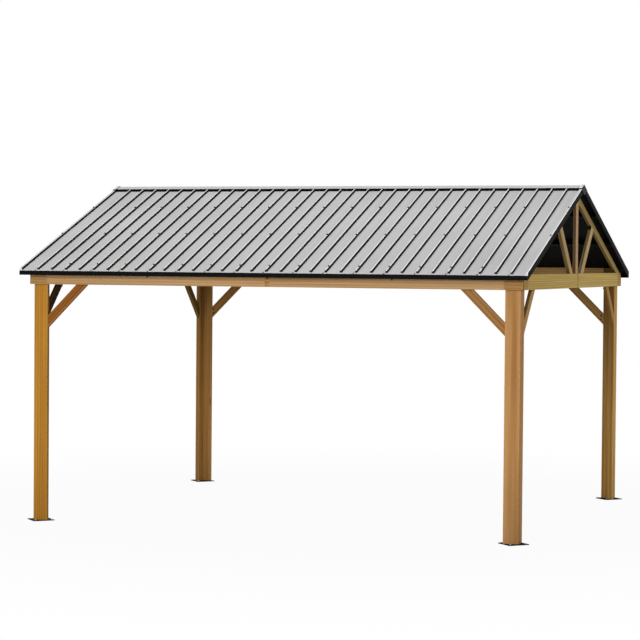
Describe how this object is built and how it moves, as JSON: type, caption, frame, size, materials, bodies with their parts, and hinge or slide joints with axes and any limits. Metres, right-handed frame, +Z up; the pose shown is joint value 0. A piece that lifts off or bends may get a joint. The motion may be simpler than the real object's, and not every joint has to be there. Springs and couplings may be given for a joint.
{
  "type": "garden gazebo",
  "caption": "Open garden gazebo: L-shaped timber posts on anchored foot plates, braced beam ring, gable trusses and a ribbed sheet roof with ridge cap.",
  "frame": {"origin": "centre of the footprint, on the ground under the foot plates", "axes": "+X along the ridge, +Y across the ridge away from the front eave, +Z up"},
  "size_m": [4.584, 4.092, 3.0051],
  "materials": {
    "post_timber": "stained softwood, sawn boards",
    "beam_timber": "stained softwood, sawn boards",
    "truss_timber": "stained softwood, sawn boards",
    "roof_sheet": "satin grey coating",
    "ridge_sheet": "satin grey coating",
    "trim_steel": "gloss black coating",
    "frame_steel": "matt black coating",
    "ridge_end_steel": "satin dark grey coating",
    "foot_steel": "gloss black coating"
  },
  "bodies": {
    "root": {"back_beam": "beam_timber", "back_fascia": "trim_steel", "back_inner_rafters": "frame_steel", "back_left_braces": "beam_timber", "back_left_corner_cap": "beam_timber", "back_left_foot_plate": "foot_steel", "back_left_post": "post_timber", "back_purlins": "frame_steel", "back_right_braces": "beam_timber", "back_right_corner_cap": "beam_timber", "back_right_foot_plate": "foot_steel", "back_right_post": "post_timber", "back_roof_panels": "roof_sheet", "back_splice": "beam_timber", "front_beam": "beam_timber", "front_fascia": "trim_steel", "front_inner_rafters": "frame_steel", "front_left_braces": "beam_timber", "front_left_corner_cap": "beam_timber", "front_left_foot_plate": "foot_steel", "front_left_post": "post_timber", "front_purlins": "frame_steel", "front_right_braces": "beam_timber", "front_right_corner_cap": "beam_timber", "front_right_foot_plate": "foot_steel", "front_right_post": "post_timber", "front_roof_panels": "roof_sheet", "front_splice": "beam_timber", "left_back_gable_rafter": "truss_timber", "left_beam": "beam_timber", "left_front_gable_rafter": "truss_timber", "left_gable_webs": "truss_timber", "left_king_post": "truss_timber", "left_rake_trim": "trim_steel", "left_ridge_end": "ridge_end_steel", "left_splice": "beam_timber", "ridge_cap": "ridge_sheet", "right_back_gable_rafter": "truss_timber", "right_beam": "beam_timber", "right_front_gable_rafter": "truss_timber", "right_gable_webs": "truss_timber", "right_king_post": "truss_timber", "right_rake_trim": "trim_steel", "right_ridge_end": "ridge_end_steel", "right_splice": "beam_timber"}
  },
  "joints": []
}
